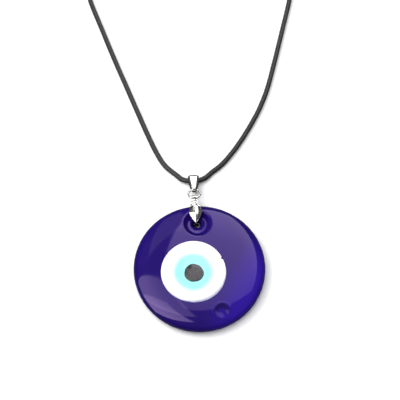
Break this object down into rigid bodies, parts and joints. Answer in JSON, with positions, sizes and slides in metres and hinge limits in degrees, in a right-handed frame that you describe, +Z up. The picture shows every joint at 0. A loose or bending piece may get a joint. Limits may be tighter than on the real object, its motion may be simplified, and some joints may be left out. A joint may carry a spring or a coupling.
{
  "type": "evil eye pendant necklace",
  "caption": "Round blue glass eye pendant with white, turquoise and dark pours, on a silver pinch bail and a black waxed cord with clasp and extension chain.",
  "frame": {"origin": "on the table under the middle of the pendant's outline, disc to bail", "axes": "+Z up off the table, +Y from the disc towards the bail and cord, +X to the right seen from the front face"},
  "size_m": [0.0903, 0.2099, 0.0084],
  "materials": {
    "cobalt_glass": "fire polished, transparent deep cobalt",
    "white_glass": "opaque, fire polished",
    "turquoise_glass": "opaque, fire polished",
    "dark_glass": "opaque, fire polished, slightly uneven",
    "waxed_cord": "braided cotton, waxed to a satin shine",
    "silver_plate": "bright silver plate, lightly rubbed"
  },
  "bodies": {
    "cord": {"cord": "waxed_cord", "cord_coil": "waxed_cord", "cord_tail_left": "waxed_cord", "cord_tail_right": "waxed_cord", "crimp_clasp_end": "silver_plate", "crimp_chain_end": "silver_plate"},
    "bail": {"bail": "silver_plate"},
    "pendant_ring": {"pendant_ring": "silver_plate"},
    "clip": {"pinch_clip": "silver_plate"},
    "disc": {"glass_disc": "cobalt_glass", "eye_white": "white_glass", "eye_turquoise": "turquoise_glass", "eye_pupil": "dark_glass"},
    "clasp_ring": {"clasp_ring": "silver_plate"},
    "clasp": {"clasp_body": "silver_plate", "clasp_pin": "silver_plate", "clasp_spring": "silver_plate"},
    "lever": {"clasp_lever": "silver_plate"},
    "chain_ring": {"chain_ring": "silver_plate"},
    "chain_link_01": {"chain_link_01": "silver_plate"},
    "chain_link_02": {"chain_link_02": "silver_plate"},
    "chain_link_03": {"chain_link_03": "silver_plate"},
    "chain_link_04": {"chain_link_04": "silver_plate"},
    "chain_link_05": {"chain_link_05": "silver_plate"},
    "chain_link_06": {"chain_link_06": "silver_plate"},
    "chain_link_07": {"chain_link_07": "silver_plate"},
    "chain_link_08": {"chain_link_08": "silver_plate"},
    "chain_link_09": {"chain_link_09": "silver_plate"},
    "chain_link_10": {"chain_link_10": "silver_plate"},
    "chain_drop": {"chain_drop": "silver_plate"}
  },
  "joints": [
    {"name": "bail_swing", "type": "hinge", "parent": "cord", "child": "bail", "pos_m": [-0.0024, 0.0301, 0.00205], "axis": [-0.9986, -0.0523, 0], "range_deg": [0, 80]},
    {"name": "ring_swing", "type": "hinge", "parent": "bail", "child": "pendant_ring", "pos_m": [-0.00217, 0.02572, 0.00279], "axis": [-0.9986, -0.0523, 0], "range_deg": [0, 30]},
    {"name": "clip_swing", "type": "hinge", "parent": "pendant_ring", "child": "clip", "pos_m": [-0.00194, 0.02136, 0.00404], "axis": [-0.9986, -0.0523, 0], "range_deg": [0, 25]},
    {"name": "disc_turn", "type": "hinge", "parent": "clip", "child": "disc", "pos_m": [-0.00135, 0.01008, 0.00381], "axis": [0, -0.0203, 0.9998], "range_deg": [-25, 25]},
    {"name": "clasp_ring_turn", "type": "hinge", "parent": "cord", "child": "clasp_ring", "pos_m": [0.01418, 0.13846, 0.0016], "axis": [0, 0, 1], "range_deg": [-25, 25]},
    {"name": "clasp_turn", "type": "hinge", "parent": "clasp_ring", "child": "clasp", "pos_m": [0.01648, 0.14036, 0.00155], "axis": [0, 0, 1], "range_deg": [-25, 25]},
    {"name": "lever_open", "type": "hinge", "parent": "clasp", "child": "lever", "pos_m": [0.01874, 0.1428, 0.00155], "axis": [0, 0, -1], "range_deg": [0, 20], "stiffness_Nm_per_rad": 0.0002, "springref_deg": -28.65},
    {"name": "chain_ring_turn", "type": "hinge", "parent": "cord", "child": "chain_ring", "pos_m": [0.00891, 0.14896, 0.0016], "axis": [0, 0, 1], "range_deg": [-25, 25]},
    {"name": "link_01_turn", "type": "hinge", "parent": "chain_ring", "child": "chain_link_01", "pos_m": [0.00937, 0.15148, 0.00155], "axis": [0, 0, 1], "range_deg": [-30, 12]},
    {"name": "link_02_turn", "type": "hinge", "parent": "chain_link_01", "child": "chain_link_02", "pos_m": [0.00939, 0.15518, 0.00155], "axis": [0, 0, -1], "range_deg": [-12, 30]},
    {"name": "link_03_turn", "type": "hinge", "parent": "chain_link_02", "child": "chain_link_03", "pos_m": [0.00877, 0.15877, 0.00155], "axis": [0, 0, 1], "range_deg": [-30, 12]},
    {"name": "link_04_turn", "type": "hinge", "parent": "chain_link_03", "child": "chain_link_04", "pos_m": [0.00754, 0.16221, 0.00155], "axis": [0, 0, -1], "range_deg": [-12, 30]},
    {"name": "link_05_turn", "type": "hinge", "parent": "chain_link_04", "child": "chain_link_05", "pos_m": [0.00574, 0.16538, 0.00155], "axis": [0, 0, 1], "range_deg": [-30, 12]},
    {"name": "link_06_turn", "type": "hinge", "parent": "chain_link_05", "child": "chain_link_06", "pos_m": [0.0034, 0.16819, 0.00155], "axis": [0, 0, -1], "range_deg": [-12, 30]},
    {"name": "link_07_turn", "type": "hinge", "parent": "chain_link_06", "child": "chain_link_07", "pos_m": [0.00062, 0.17055, 0.00155], "axis": [0, 0, 1], "range_deg": [-30, 12]},
    {"name": "link_08_turn", "type": "hinge", "parent": "chain_link_07", "child": "chain_link_08", "pos_m": [-0.00253, 0.17239, 0.00155], "axis": [0, 0, -1], "range_deg": [-12, 30]},
    {"name": "link_09_turn", "type": "hinge", "parent": "chain_link_08", "child": "chain_link_09", "pos_m": [-0.00595, 0.17366, 0.00155], "axis": [0, 0, 1], "range_deg": [-30, 12]},
    {"name": "link_10_turn", "type": "hinge", "parent": "chain_link_09", "child": "chain_link_10", "pos_m": [-0.00954, 0.17431, 0.00155], "axis": [0, 0, -1], "range_deg": [-12, 30]},
    {"name": "drop_turn", "type": "hinge", "parent": "chain_link_10", "child": "chain_drop", "pos_m": [-0.01353, 0.17504, 0.00155], "axis": [0, 0, 1], "range_deg": [-30, 30]}
  ]
}
